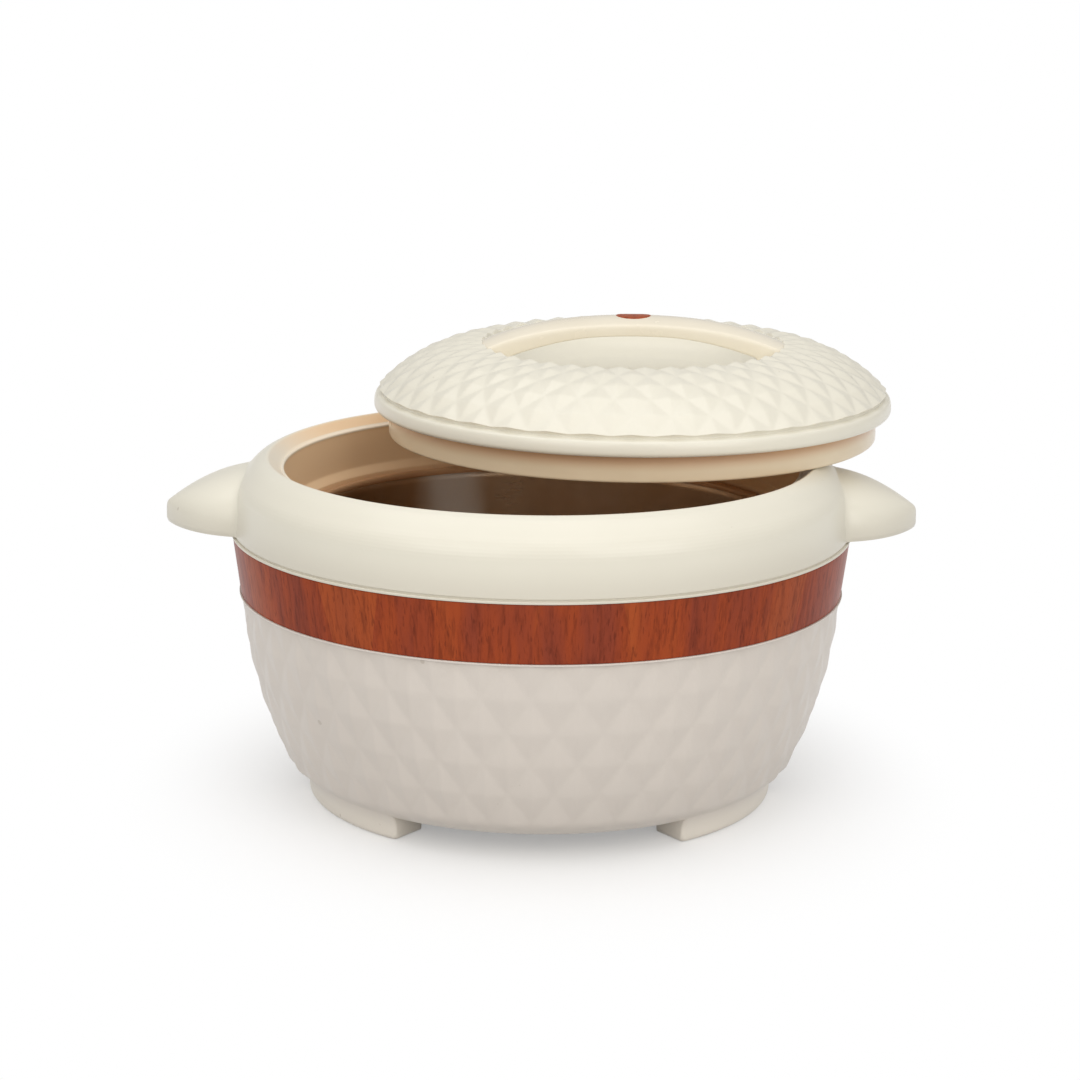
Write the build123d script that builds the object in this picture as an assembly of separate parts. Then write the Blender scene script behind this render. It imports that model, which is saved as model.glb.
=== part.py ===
from build123d import *
import math
import os

# Insulated bread keeper: a foam-filled pot with a steel liner and a separate lift-off lid.
# Millimetres, +Z up. The origin is the centre of the face that the feet stand on, and the
# two ears lie along X. The lid lies askew on the rim, level, moved to the right and back.

# ---- walls and fits
plastic_wall = 2.5
steel_wall = 0.8
seat_clearance = 0.15
lid_rest_gap = 0.3

# ---- studded skin, shared by pot and lid
stud_columns = 40
stud_rows = 5
stud_relief = 1.3
pot_stud_turn = -1.7
lid_stud_turn = 2.8

# ---- steel liner and the foam round it
liner_radius = 99.9
liner_draft = 3.2
liner_corner_radius = 14.0
liner_bead_radius = 1.1
side_insulation = 21.2
base_insulation = 16.0

# ---- pot shell
foot_height = 8.7
foot_overhang = 6.5
foot_depth = 18.0
foot_half_angle = 24.0
foot_count = 3
foot_first_angle = 90.0
foot_join = 4.0
base_inset = 8.4
base_corner_radius = 17.0
base_corner_sweep = 60.0
base_corner_steps = 3
wall_height = 78.8
wall_bulge = 3.6
neck_rise = 4.0
plug_radius = 9.0
plug_flange = 3.0
plug_flange_thickness = 1.2

# ---- wood-look band
band_height = 24.3
band_proud = 1.5
band_flare = 3.2
band_thickness = 1.6

# ---- collar: heights are measured down from the rim, widths from the liner outwards
collar_height = 31.4
lip_overhang = 0.4
lip_height = 1.4
lip_step = 0.6
shoulder_inset = 2.4
shoulder_drop = 12.2
shoulder_bulge = 1.7
crest_width = 1.1
crest_drop = 0.5
crest_bulge = 0.15
bevel_width = 5.8
bevel_drop = 4.9
mouth_draft = 1.5
ledge_drop = 20.3
ledge_width = 3.05
liner_seat_drop = 25.6
liner_seat_width = 2.2
liner_seat_thickness = 2.6

# ---- ears
ear_reach = 27.8
ear_root_depth = 13.5
ear_half_width = 32.0
ear_thickness = 24.5
ear_tip_drop = 17.0
ear_drop_power = 2.0
ear_lift = 2.0
ear_steps = 6
ear_last_share = 0.98

# ---- lid: heights are measured up from the underside of its skirt
lid_shift_right = 38.8
lid_shift_back = 48.2
skirt_clearance = 1.15
skirt_height = 11.5
skirt_land = 12.5
skirt_edge_round = 0.8
cover_recess = 3.0
flange_overhang = 6.3
flange_height = 6.6
flange_edge_round = 1.8
groove_inset = 4.0
groove_height = 1.0
dome_overhang = 1.15
dome_edge_rise = 0.7
dome_rise = 19.1
dome_bulge = 4.7
dish_radius = 65.0
dish_rim_inset = 1.2
dish_rim_drop = 1.0
dish_wall_width = 19.5
dish_depth = 14.4
dish_rings = 4

# ---- handle: heights are measured from the crown of the dome
handle_rise = 12.1
handle_thickness = 7.3
handle_crowning = 2.6
handle_half_width = 12.0
handle_overlap = 2.6
handle_end_drop = 1.0
handle_foot_length = 14.0
handle_foot_top_drop = 4.2
handle_seat_drop = 7.4
inlay_length = 15.0
inlay_width = 12.0
inlay_depth = 1.2
screw_inset = 2.3
screw_radius = 1.5
screw_length = 8.0
screw_head_radius = 3.0
screw_head_height = 2.0
screw_hole_clearance = 0.2

# ---- pot sizes that follow
foot_radius = liner_radius - base_inset + foot_overhang
base_flat_radius = liner_radius - base_inset
base_corner_angle = math.radians(base_corner_sweep)
wall_low_radius = base_flat_radius + base_corner_radius * math.sin(base_corner_angle)
wall_low_height = foot_height + base_corner_radius * (1 - math.cos(base_corner_angle))
wall_top_radius = liner_radius + steel_wall + side_insulation + plastic_wall
liner_floor_height = foot_height + plastic_wall + base_insulation + steel_wall
band_bottom = foot_height + wall_height
band_top = band_bottom + band_height
band_radius = wall_top_radius + band_proud
band_top_radius = band_radius + band_flare
band_slope = band_flare / band_height
neck_radius = band_radius - band_thickness - seat_clearance
neck_top = band_top + neck_rise
neck_top_radius = neck_radius + band_slope * (neck_top - band_bottom)

# ---- collar sizes that follow
rim_height = band_top + collar_height
lip_bottom = band_top + seat_clearance
lip_radius = band_top_radius + lip_overhang
liner_hole_radius = liner_radius + steel_wall + seat_clearance
liner_seat_radius = liner_hole_radius + liner_seat_width
ledge_radius = liner_seat_radius + ledge_width
mouth_radius = ledge_radius + mouth_draft
crest_inner_radius = mouth_radius + bevel_width
crest_radius = crest_inner_radius + crest_width
liner_seat_height = rim_height - liner_seat_drop
ear_underside = lip_bottom + ear_lift

# ---- lid sizes that follow
lid_base = rim_height + lid_rest_gap
skirt_radius = ledge_radius - skirt_clearance
skirt_inside = skirt_radius - plastic_wall
skirt_top = skirt_height + plastic_wall
land_radius = skirt_radius - skirt_land
flange_radius = skirt_radius + flange_overhang
flange_top = skirt_height + flange_height
groove_radius = flange_radius - groove_inset
dome_edge_radius = groove_radius + dome_overhang
dome_edge_height = flange_top + groove_height + dome_edge_rise
dome_height = dome_edge_height + dome_rise
dish_floor_height = dome_height - dish_depth
dish_floor_radius = dish_radius - dish_wall_width
handle_top = dome_height + handle_rise
handle_seat_height = dome_height - handle_seat_drop
handle_end = dish_radius + handle_overlap
handle_foot_start = handle_end - handle_foot_length
screw_base = handle_seat_height - plastic_wall
lid_place = Location((lid_shift_right, lid_shift_back, lid_base))


# ---- helpers
def turned(*points):
    """Revolve a closed (radius, height) outline about Z. A step may be ("arc", middle, end)."""
    edges = []
    here = points[0]
    for step in points[1:] + points[:1]:
        if step[0] == "arc":
            middle, end = step[1:]
            edges.append(ThreePointArc((here[0], 0, here[1]), (middle[0], 0, middle[1]), (end[0], 0, end[1])))
            here = end
        else:
            edges.append(Line((here[0], 0, here[1]), (step[0], 0, step[1])))
            here = step
    return revolve(make_face(edges), Axis.Z)


def disc(radius, low, high):
    """Upright cylinder between two heights."""
    return Pos(0, 0, low) * extrude(Circle(radius), high - low)


def arc_to(start, end, bulge):
    """Arc step for an outline, standing out by bulge to the right of the way from start to end."""
    length = math.dist(start, end)
    across = (end[0] - start[0]) / length
    rise = (end[1] - start[1]) / length
    middle = ((start[0] + end[0]) / 2 + bulge * rise, (start[1] + end[1]) / 2 - bulge * across)
    return "arc", middle, end


def points_on_arc(start, end, bulge, count):
    """Evenly spaced (radius, height, normal) along an arc that bulges to the right of its way."""
    chord = math.dist(start, end)
    radius = (chord ** 2 / 4 + bulge ** 2) / (2 * bulge)
    half_angle = math.asin(chord / 2 / radius)
    along = ((end[0] - start[0]) / chord, (end[1] - start[1]) / chord)
    right = (along[1], -along[0])
    centre = [(start[i] + end[i]) / 2 - right[i] * (radius - bulge) for i in (0, 1)]
    found = []
    for step in range(count + 1):
        angle = half_angle * (2 * step / count - 1)
        normal = [right[i] * math.cos(angle) + along[i] * math.sin(angle) for i in (0, 1)]
        found.append((centre[0] + radius * normal[0], centre[1] + radius * normal[1], normal))
    return found


def moved_in(point, distance):
    """A (radius, height, normal) point moved inwards along its normal, as (radius, height)."""
    radius, height, normal = point
    return radius - distance * normal[0], height - distance * normal[1]


def plain_ring(radius, height, turn):
    """Ring of points for faceted_solid with no studs on it."""
    angles = [math.radians(turn + step * 180 / stud_columns) for step in range(2 * stud_columns)]
    return None, [(radius * math.sin(angle), -radius * math.cos(angle), height) for angle in angles]


def stud_ring(row, point, turn, normal=None):
    """Ring for faceted_solid where every other point is a stud's peak, staggered row by row."""
    radius, height, own_normal = point
    normal = normal or own_normal
    leads = row % 2 == 1
    ring = []
    for step in range(2 * stud_columns):
        relief = stud_relief if (step % 2 == 0) == leads else 0
        angle = math.radians(turn + step * 180 / stud_columns)
        out = radius + relief * normal[0]
        ring.append((out * math.sin(angle), -out * math.cos(angle), height + relief * normal[1]))
    return leads, ring


def facets_between(lower, upper):
    """Faces between two rings, split along the grooves between studs."""
    (lower_leads, low), (upper_leads, high) = lower, upper
    faces = []
    for step in range(len(low)):
        after = (step + 1) % len(low)
        corners = low[step], low[after], high[after], high[step]
        even = step % 2 == 0
        if lower_leads is None and upper_leads is None:
            faces.append(Face(Wire.make_polygon(corners)))
            continue
        if lower_leads is None:
            falls = even == upper_leads
        elif upper_leads is None:
            falls = even != lower_leads
        else:
            falls = even == lower_leads
        split = (1, 3) if falls else (0, 2)
        for middle in {0, 1, 2, 3} - set(split):
            faces.append(Face(Wire.make_polygon([corners[split[0]], corners[middle], corners[split[1]]])))
    return faces


def faceted_solid(rings):
    """Closed solid through rings of points, each given as (whether a peak leads, points)."""
    faces = [Face(Wire.make_polygon(rings[0][1])), Face(Wire.make_polygon(rings[-1][1]))]
    for lower, upper in zip(rings, rings[1:]):
        faces += facets_between(lower, upper)
    return Solid(Shell(faces))


def sector(inner, outer, half_angle, low, high):
    """Block between two radii and two angles either side of +X."""
    turn = math.radians(half_angle)
    near, far = [(radius * math.cos(turn), radius * math.sin(turn)) for radius in (inner, outer)]
    outline = [Line((near[0], -near[1]), (far[0], -far[1])),
               ThreePointArc((far[0], -far[1]), (outer, 0), far), Line(far, near),
               ThreePointArc(near, (inner, 0), (near[0], -near[1]))]
    return Pos(0, 0, low) * extrude(make_face(outline), high - low)


def plug(face, depth):
    """Stopper pushed up into a wall from below, with its flange against the face at that height."""
    return disc(plug_radius, face, face + depth) + disc(plug_radius + plug_flange,
                                                        face - plug_flange_thickness, face)


# ---- pot
def wall_points():
    """Rows of the pot's studded wall, from the base corner up to the band."""
    return points_on_arc((wall_low_radius, wall_low_height), (wall_top_radius, band_bottom),
                         wall_bulge, stud_rows)


def shell_skin():
    rings = []
    for step in range(base_corner_steps):
        angle = base_corner_angle * step / base_corner_steps
        rings.append(plain_ring(base_flat_radius + base_corner_radius * math.sin(angle),
                                foot_height + base_corner_radius * (1 - math.cos(angle)), pot_stud_turn))
    rows = wall_points()
    rings += [stud_ring(row, point, pot_stud_turn) for row, point in enumerate(rows[:-1])]
    rings.append(stud_ring(stud_rows, rows[-1], pot_stud_turn, normal=(1, 0)))
    return faceted_solid(rings)


def shell_cavity(inset=0.0):
    """Space inside the pot's wall, kept back by inset for the foam that fills it."""
    wall = plastic_wall + inset
    rows = wall_points()
    corner = base_corner_radius - wall
    half = base_corner_angle / 2
    corner_middle = (base_flat_radius + corner * math.sin(half),
                     foot_height + base_corner_radius - corner * math.cos(half))
    low = moved_in(rows[0], wall)
    return turned((0, foot_height + wall), (base_flat_radius, foot_height + wall),
                  ("arc", corner_middle, low), arc_to(low, (neck_radius - wall, band_bottom), wall_bulge),
                  (neck_top_radius - wall, neck_top), (0, neck_top))


def foot(wall=0.0):
    """One foot on +X. A wall pares it down to the hollow inside."""
    middle_radius = foot_radius - foot_depth / 2
    half_angle = foot_half_angle - math.degrees(wall / middle_radius)
    return sector(foot_radius - foot_depth + wall, foot_radius - wall, half_angle, wall,
                  foot_height + foot_join)


def foot_turns():
    return [Rot(0, 0, foot_first_angle + step * 360 / foot_count) for step in range(foot_count)]


def outer_shell():
    neck = turned((0, band_bottom), (neck_radius, band_bottom), (neck_top_radius, neck_top), (0, neck_top))
    shell = shell_skin() + neck
    for turn in foot_turns():
        shell += turn * foot()
    shell -= shell_cavity()
    for turn in foot_turns():
        shell -= turn * foot(plastic_wall)
    return shell - disc(plug_radius + seat_clearance, 0, foot_height + foot_join)


def wood_band():
    inner = neck_radius + seat_clearance
    return turned((inner, band_bottom), (band_radius, band_bottom), (band_top_radius, band_top),
                  (inner + band_flare, band_top))


def liner_outline(grow):
    """Outline of the liner's bowl from its floor up to its seat, grown outwards by grow."""
    floor_radius = liner_radius - liner_draft
    bend_centre = (floor_radius - liner_corner_radius, liner_floor_height + liner_corner_radius)
    bend = liner_corner_radius + grow
    middle = (bend_centre[0] + bend * math.sin(math.pi / 4), bend_centre[1] - bend * math.cos(math.pi / 4))
    return [(0, bend_centre[1] - bend), (bend_centre[0], bend_centre[1] - bend),
            ("arc", middle, (bend_centre[0] + bend, bend_centre[1])), (liner_radius + grow, liner_seat_height)]


def inner_bowl():
    """Steel liner, hung by a rolled bead on the collar's inner edge."""
    outside = turned(*liner_outline(steel_wall), (0, liner_seat_height))
    inside = turned(*liner_outline(0.0), (0, liner_seat_height))
    bead_middle = liner_seat_height + liner_bead_radius
    bead_outer = liner_radius + 2 * liner_bead_radius
    bead = turned((liner_radius, liner_seat_height), (bead_outer - liner_bead_radius / 2, liner_seat_height),
                  ("arc", (bead_outer, bead_middle), (bead_outer - liner_bead_radius / 2,
                                                      bead_middle + liner_bead_radius)),
                  (liner_radius + liner_bead_radius / 2, bead_middle + liner_bead_radius),
                  (liner_radius, bead_middle))
    return outside - inside + bead


def collar_ring():
    shoulder = (lip_radius - shoulder_inset, rim_height - shoulder_drop)
    crest = (crest_radius, rim_height)
    crest_inner = (crest_inner_radius, rim_height - crest_drop)
    bevel = rim_height - bevel_drop
    ledge = rim_height - ledge_drop
    seat_edge = liner_seat_height + liner_seat_width / 2
    seat_under = liner_seat_height - liner_seat_thickness
    shoulder_inside = (shoulder[0] - plastic_wall, shoulder[1])
    crest_inside = (crest_radius, rim_height - plastic_wall)
    neck_step = neck_top_radius - plastic_wall
    neck_outside = neck_top_radius + seat_clearance
    return turned(
        (lip_radius, lip_bottom), (lip_radius, lip_bottom + lip_height),
        (lip_radius - lip_step, lip_bottom + lip_height + lip_step), shoulder,
        arc_to(shoulder, crest, shoulder_bulge), arc_to(crest, crest_inner, crest_bulge),
        (mouth_radius, bevel), (ledge_radius, ledge), (liner_seat_radius, seat_edge),
        (liner_seat_radius, liner_seat_height), (liner_hole_radius, liner_seat_height),
        (liner_hole_radius, seat_under), (liner_seat_radius + plastic_wall / 2, seat_under),
        (ledge_radius + plastic_wall, ledge - plastic_wall), (mouth_radius + plastic_wall, bevel - plastic_wall / 2),
        crest_inside, arc_to(crest_inside, shoulder_inside, -shoulder_bulge),
        (neck_step, neck_top + plastic_wall), (neck_step, neck_top), (neck_outside, neck_top),
        (neck_outside - band_slope * (neck_top - lip_bottom), lip_bottom))


def ear_section(x, half_width, rise):
    """Upright cross-section of an ear: flat below, steep sides, domed on top."""
    half = [(1.0, 0.0), (0.97, 0.36), (0.78, 0.79)]
    points = [(x, -half_width * y, ear_underside + rise * z) for y, z in half]
    points += [(x, 0, ear_underside + rise)]
    points += [(x, half_width * y, ear_underside + rise * z) for y, z in reversed(half)]
    return make_face([Spline(points), Line(points[-1], points[0])])


def ear(wall=0.0):
    """Leaf-shaped ear on +X. A wall pares it down to the hollow moulded into its underside."""
    root = lip_radius - ear_root_depth
    reach = ear_root_depth + ear_reach - wall
    sections = []
    for step in range(ear_steps + 1):
        share = ear_last_share * step / ear_steps
        half_width = (ear_half_width - wall) * (1 - share ** 2.4) ** 0.8
        rise = ear_thickness - wall - ear_tip_drop * share ** ear_drop_power
        sections.append(ear_section(root + reach * share, half_width, rise))
    return loft(sections)


def collar():
    shoulder_radius = lip_radius - shoulder_inset - plastic_wall / 2
    lip_middle = neck_top_radius + lip_overhang
    core = turned((0, 0), (lip_middle, 0), (lip_middle, neck_top + plastic_wall / 2),
                  (shoulder_radius, neck_top + plastic_wall), (shoulder_radius, rim_height - shoulder_drop),
                  (crest_radius, rim_height - plastic_wall / 2), (crest_radius, 2 * rim_height),
                  (0, 2 * rim_height))
    hollow = ear(plastic_wall) - disc(lip_radius + plastic_wall, 0, rim_height)
    one_ear = ear() - core - hollow
    return collar_ring() + one_ear + Rot(0, 0, 180) * one_ear


def body_foam():
    """Insulation between shell and liner, poured in place."""
    fill = shell_cavity(seat_clearance)
    for turn in foot_turns():
        fill += turn * foot(plastic_wall + seat_clearance)
    fill -= turned(*liner_outline(steel_wall + seat_clearance), (0, liner_seat_height))
    fill -= disc(lip_radius, liner_seat_height - liner_seat_thickness - seat_clearance, rim_height)
    return fill - disc(plug_radius + seat_clearance, 0, foot_height + plastic_wall + seat_clearance)


def base_plug():
    return plug(foot_height, plastic_wall)


# ---- lid, in its own frame: on its axis, with the underside of its skirt at height 0
def dome_points():
    """Rows of the lid's studded dome, from the groove over the flange up to the dish."""
    return points_on_arc((dome_edge_radius, dome_edge_height), (dish_radius, dome_height),
                         dome_bulge, stud_rows)


def dish_point(share, grow=0.0):
    """Point of the dish's curved wall, from its floor at share 0 up to its rim at 1."""
    angle = share * math.pi / 2
    width = dish_wall_width - dish_rim_inset
    depth = dish_depth - dish_rim_drop
    return (dish_floor_radius + width * math.sin(angle) + grow * math.sin(angle),
            dish_floor_height + depth * (1 - math.cos(angle)) - grow * math.cos(angle))


def dish_space(grow):
    """The dish and all above it, grown outwards and down by grow."""
    floor, middle, rim = [dish_point(share, grow) for share in (0, 0.5, 1)]
    return turned((0, floor[1]), floor, ("arc", middle, rim), (rim[0], handle_top), (0, handle_top))


def handle_feet(grow, low):
    """Blocks at the two ends of the handle, wide enough for its feet plus grow, from low up."""
    length = handle_foot_length + 2 * grow
    block = Box(length, 2 * (handle_half_width + grow), handle_top - low)
    place = Pos(handle_end - handle_foot_length / 2, 0, (handle_top + low) / 2)
    return place * block + Rot(0, 0, 180) * place * block


def lid_outside():
    groove_floor = flange_top + groove_height
    rings = [plain_ring(groove_radius, (skirt_height + flange_top) / 2, lid_stud_turn),
             plain_ring(groove_radius, groove_floor, lid_stud_turn)]
    rings += [stud_ring(row, point, lid_stud_turn) for row, point in enumerate(dome_points())]
    rings += [plain_ring(*dish_point(1 - step / dish_rings), lid_stud_turn) for step in range(dish_rings + 1)]
    round_start = (flange_radius, flange_top - flange_edge_round)
    round_end = (flange_radius - flange_edge_round, flange_top)
    edge = skirt_edge_round
    flange = turned((0, skirt_height), (flange_radius - edge, skirt_height), (flange_radius, skirt_height + edge),
                    round_start, arc_to(round_start, round_end, 0.4 * flange_edge_round),
                    (groove_radius - edge, flange_top), (0, flange_top))
    return faceted_solid(rings) + flange


def lid_cavity(inset=0.0):
    """Space under the dome, kept back by inset for the foam that fills it."""
    wall = plastic_wall + inset
    rows = dome_points()
    low, high = moved_in(rows[0], wall), moved_in(rows[-1], wall)
    under_dome = turned((0, skirt_height), (low[0], skirt_height), low, arc_to(low, high, dome_bulge),
                        (0, high[1]))
    return (under_dome & disc(skirt_inside - inset, skirt_height, high[1])) - dish_space(wall)


def at_screws(shape):
    """A shape repeated on the two screw axes."""
    place = Pos(handle_end - screw_inset, 0, 0)
    return place * shape + Rot(0, 0, 180) * place * shape


def lid_shell():
    outside = lid_outside()
    shell = outside - lid_cavity()
    # pads under the handle's feet, kept inside the dome's skin
    inner_zone = disc(groove_radius - plastic_wall, skirt_top, handle_seat_height + plastic_wall)
    shell += handle_feet(plastic_wall, screw_base) & inner_zone & outside
    shell -= handle_feet(seat_clearance, handle_seat_height)
    shell -= disc(skirt_radius + seat_clearance, 0, skirt_top)
    return shell - at_screws(disc(screw_radius + screw_hole_clearance, 0, handle_top))


def lid_inner():
    """Inner cover: a flat land round a shallow recess, inside the skirt that enters the mouth."""
    recess_radius = land_radius - cover_recess
    edge = skirt_edge_round
    top = skirt_top - seat_clearance
    cover = turned((0, cover_recess), (recess_radius, cover_recess), (land_radius, 0), (skirt_radius - edge, 0),
                   (skirt_radius, edge), (skirt_radius, top), (skirt_inside, top), (skirt_inside, plastic_wall),
                   (land_radius + 1, plastic_wall), (recess_radius + 1, cover_recess + plastic_wall),
                   (0, cover_recess + plastic_wall))
    return cover - disc(plug_radius + seat_clearance, 0, skirt_top)


def lid_foam():
    """Insulation between inner cover and dome, poured in place."""
    recess_radius = land_radius - cover_recess
    low = plastic_wall + seat_clearance
    inside = skirt_inside - seat_clearance
    fill = turned((0, cover_recess + low), (recess_radius + 1, cover_recess + low), (land_radius + 1, low),
                  (inside, low), (inside, skirt_top), (0, skirt_top))
    fill += lid_cavity(seat_clearance)
    fill -= handle_feet(plastic_wall + seat_clearance, screw_base - seat_clearance)
    head_low = screw_base - screw_head_height - seat_clearance
    return fill - at_screws(disc(screw_head_radius + seat_clearance, head_low, handle_top))


def lid_plug():
    return plug(cover_recess, plastic_wall)


def crowned_top(depth):
    """Everything under the strap's arched and crowned top, down to a depth below its crest."""
    rise = handle_rise + handle_end_drop
    arch_radius = (handle_end ** 2 + rise ** 2) / (2 * rise)
    crown_radius = (handle_half_width ** 2 + handle_crowning ** 2) / (2 * handle_crowning)
    edge = handle_top - handle_crowning
    half = handle_half_width
    across = make_face([ThreePointArc((0, -half, edge), (0, 0, handle_top), (0, half, edge)),
                        Line((0, half, edge), (0, half, handle_top - depth)),
                        Line((0, half, handle_top - depth), (0, -half, handle_top - depth)),
                        Line((0, -half, handle_top - depth), (0, -half, edge))])
    return revolve(across, Axis((0, 0, handle_top - arch_radius), (0, 1, 0)))


def strap_side():
    """Side view of the handle: an arched strap with a foot at each end."""
    end_top = dome_height - handle_end_drop
    foot_top = dome_height - handle_foot_top_drop
    seat = handle_seat_height
    start = handle_foot_start
    corners = [(handle_end, end_top), (handle_end, seat), (start, seat), (start, foot_top)]
    mirrored = [(-x, z) for x, z in reversed(corners)]
    arch = ThreePointArc((-handle_end, 0, end_top), (0, 0, handle_top), (handle_end, 0, end_top))
    under = ThreePointArc((start, 0, foot_top), (0, 0, handle_top - handle_thickness), (-start, 0, foot_top))
    sides = [Line((a[0], 0, a[1]), (b[0], 0, b[1])) for outline in (corners, mirrored)
             for a, b in zip(outline, outline[1:])]
    return make_face([arch, under] + sides)


def inlay_space(grow):
    oval = Ellipse(inlay_length / 2 + grow, inlay_width / 2 + grow)
    return Pos(0, 0, handle_top - inlay_depth - grow) * extrude(oval, 2 * inlay_depth)


def lid_handle():
    strap = extrude(strap_side(), handle_half_width, both=True)
    strap &= crowned_top(handle_rise + handle_seat_drop + handle_thickness)
    strap -= inlay_space(seat_clearance)
    return strap - at_screws(disc(screw_radius, 0, screw_base + screw_length))


def handle_inlay():
    """Oval disc that fills its pocket flush with the crowned top of the strap."""
    return crowned_top(3 * inlay_depth) & inlay_space(0.0)


def handle_screws():
    shank = disc(screw_radius, screw_base, screw_base + screw_length)
    head = disc(screw_head_radius, screw_base - screw_head_height, screw_base)
    return at_screws(shank + head)


# ---- output
pot = {"outer_shell": outer_shell, "wood_band": wood_band, "collar": collar, "inner_bowl": inner_bowl,
       "body_foam": body_foam, "base_plug": base_plug}
lid = {"lid_shell": lid_shell, "lid_inner": lid_inner, "lid_foam": lid_foam, "lid_handle": lid_handle,
       "handle_inlay": handle_inlay, "handle_screws": handle_screws, "lid_plug": lid_plug}
os.makedirs("parts", exist_ok=True)
for name, make in pot.items():
    export_step(make(), f"parts/{name}.step")
for name, make in lid.items():
    export_step(lid_place * make(), f"parts/{name}.step")
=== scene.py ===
import math
import bmesh
import bpy
import numpy as np
from mathutils import Matrix


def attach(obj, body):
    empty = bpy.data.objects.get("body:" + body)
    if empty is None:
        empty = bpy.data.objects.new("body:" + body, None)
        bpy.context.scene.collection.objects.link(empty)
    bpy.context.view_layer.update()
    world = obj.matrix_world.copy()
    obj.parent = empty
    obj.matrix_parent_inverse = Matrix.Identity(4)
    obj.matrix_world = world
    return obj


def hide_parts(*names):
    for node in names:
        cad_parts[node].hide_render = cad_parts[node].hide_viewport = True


# Insulated bread keeper: studded pot with a steel liner, and its lid lying askew on the rim.
# Shapes are worked out in millimetres in the part's own frame and written to the meshes in metres.

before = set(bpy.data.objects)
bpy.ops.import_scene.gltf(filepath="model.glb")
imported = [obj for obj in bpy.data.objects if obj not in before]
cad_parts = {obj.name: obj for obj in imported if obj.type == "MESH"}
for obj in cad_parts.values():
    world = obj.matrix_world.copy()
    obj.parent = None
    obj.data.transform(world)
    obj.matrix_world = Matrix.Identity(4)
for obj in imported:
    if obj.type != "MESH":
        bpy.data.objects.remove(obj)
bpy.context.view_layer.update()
print("frame loaded,", len(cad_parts), "nodes")

millimetre = 0.001


# ---- meshes from grids of points

def smoothMax(a, b, width):
    # the larger of two values, with a parabola of this width where they cross
    return np.maximum(a, b) + np.maximum(width - np.abs(a - b), 0) ** 2 / (4 * width)


def smoothStep(x):
    # 0 below 0, 1 above 1 and 3x^2 - 2x^3 between
    x = np.clip(x, 0, 1)
    return x * x * (3 - 2 * x)


def arcPoints(start, end, bulge, count):
    # points of the arc that stands out by bulge to the right of the way from start to end
    start, end = np.array(start, float), np.array(end, float)
    chord = np.linalg.norm(end - start)
    along = (end - start) / chord
    right = np.array([along[1], -along[0]])
    radius = (chord ** 2 / 4 + bulge ** 2) / (2 * bulge)
    centre = (start + end) / 2 - right * (radius - bulge)
    angle = math.asin(chord / 2 / radius) * np.linspace(-1, 1, count)
    return centre + radius * (np.outer(np.cos(angle), right) + np.outer(np.sin(angle), along))


def roundedPath(corners, spacing, closed=False):
    # a path through (radius, height, rounding) corners: each corner is cut back by its rounding
    # on both sides and bridged by a parabola, and straight runs are divided to the spacing
    points = np.array([corner[:2] for corner in corners], float)
    before, after = np.roll(points, 1, 0), np.roll(points, -1, 0)
    if not closed:
        before[0], after[-1] = points[0], points[-1]
    starts, ends, pieces = [], [], []
    for here, back, ahead, corner in zip(points, before, after, corners):
        cutBack = min(corner[2], 0.48 * (np.linalg.norm(back - here) or corner[2]))
        cutAhead = min(corner[2], 0.48 * (np.linalg.norm(ahead - here) or corner[2]))
        starts.append(here + (back - here) * cutBack / (np.linalg.norm(back - here) or 1))
        ends.append(here + (ahead - here) * cutAhead / (np.linalg.norm(ahead - here) or 1))
    for i, here in enumerate(points):
        share = np.linspace(0, 1, 7 if corners[i][2] > 0 else 1)[:, None]
        pieces.append(starts[i] * (1 - share) ** 2 + 2 * here * share * (1 - share) + ends[i] * share ** 2
                      if corners[i][2] > 0 else here[None])
        following = (i + 1) % len(points)
        if closed or following:
            length = np.linalg.norm(starts[following] - ends[i])
            inner = np.linspace(0, 1, max(2, int(length / spacing) + 2))[1:-1, None]
            pieces.append(ends[i] + (starts[following] - ends[i]) * inner)
    return np.concatenate(pieces)


def pathNormals(path):
    # unit normals to the right of the way along an open path
    along = np.gradient(path, axis=0)
    along /= np.maximum(np.linalg.norm(along, axis=1, keepdims=True), 1e-9)
    return np.stack([along[:, 1], -along[:, 0]], 1)


def turned(path, angles, centre=(0, 0, 0)):
    # rings of points: each (radius, height) of the path turned about Z, angles counted from the front;
    # the path may have its own points for every angle
    section = path[:, None, :] if path.ndim == 2 else path
    radius, height = section[..., 0], section[..., 1]
    x, y = radius * np.sin(angles), -radius * np.cos(angles)
    return np.stack([x, y, height + 0 * x], -1) + np.array(centre, float)


def gridMesh(name, points, closed=True):
    # points[i, j] is step j of ring i; every ring closes on itself, and closed joins the last ring
    # to the first
    rings, steps = points.shape[:2]
    index = np.arange(rings * steps).reshape(rings, steps)
    low = index if closed else index[:-1]
    high = np.roll(index, -1, 0) if closed else index[1:]
    faces = np.stack([low, np.roll(low, -1, 1), np.roll(high, -1, 1), high], -1).reshape(-1, 4)
    mesh = bpy.data.meshes.new(name)
    mesh.vertices.add(rings * steps)
    mesh.vertices.foreach_set("co", (points * millimetre).ravel())
    mesh.loops.add(faces.size)
    mesh.loops.foreach_set("vertex_index", faces.ravel())
    mesh.polygons.add(len(faces))
    mesh.polygons.foreach_set("loop_start", np.arange(0, faces.size, 4))
    mesh.update(calc_edges=True)
    work = bmesh.new()
    work.from_mesh(mesh)
    bmesh.ops.remove_doubles(work, verts=work.verts, dist=2e-6)
    bmesh.ops.recalc_face_normals(work, faces=work.faces)
    work.to_mesh(mesh)
    work.free()
    return mesh


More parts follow.
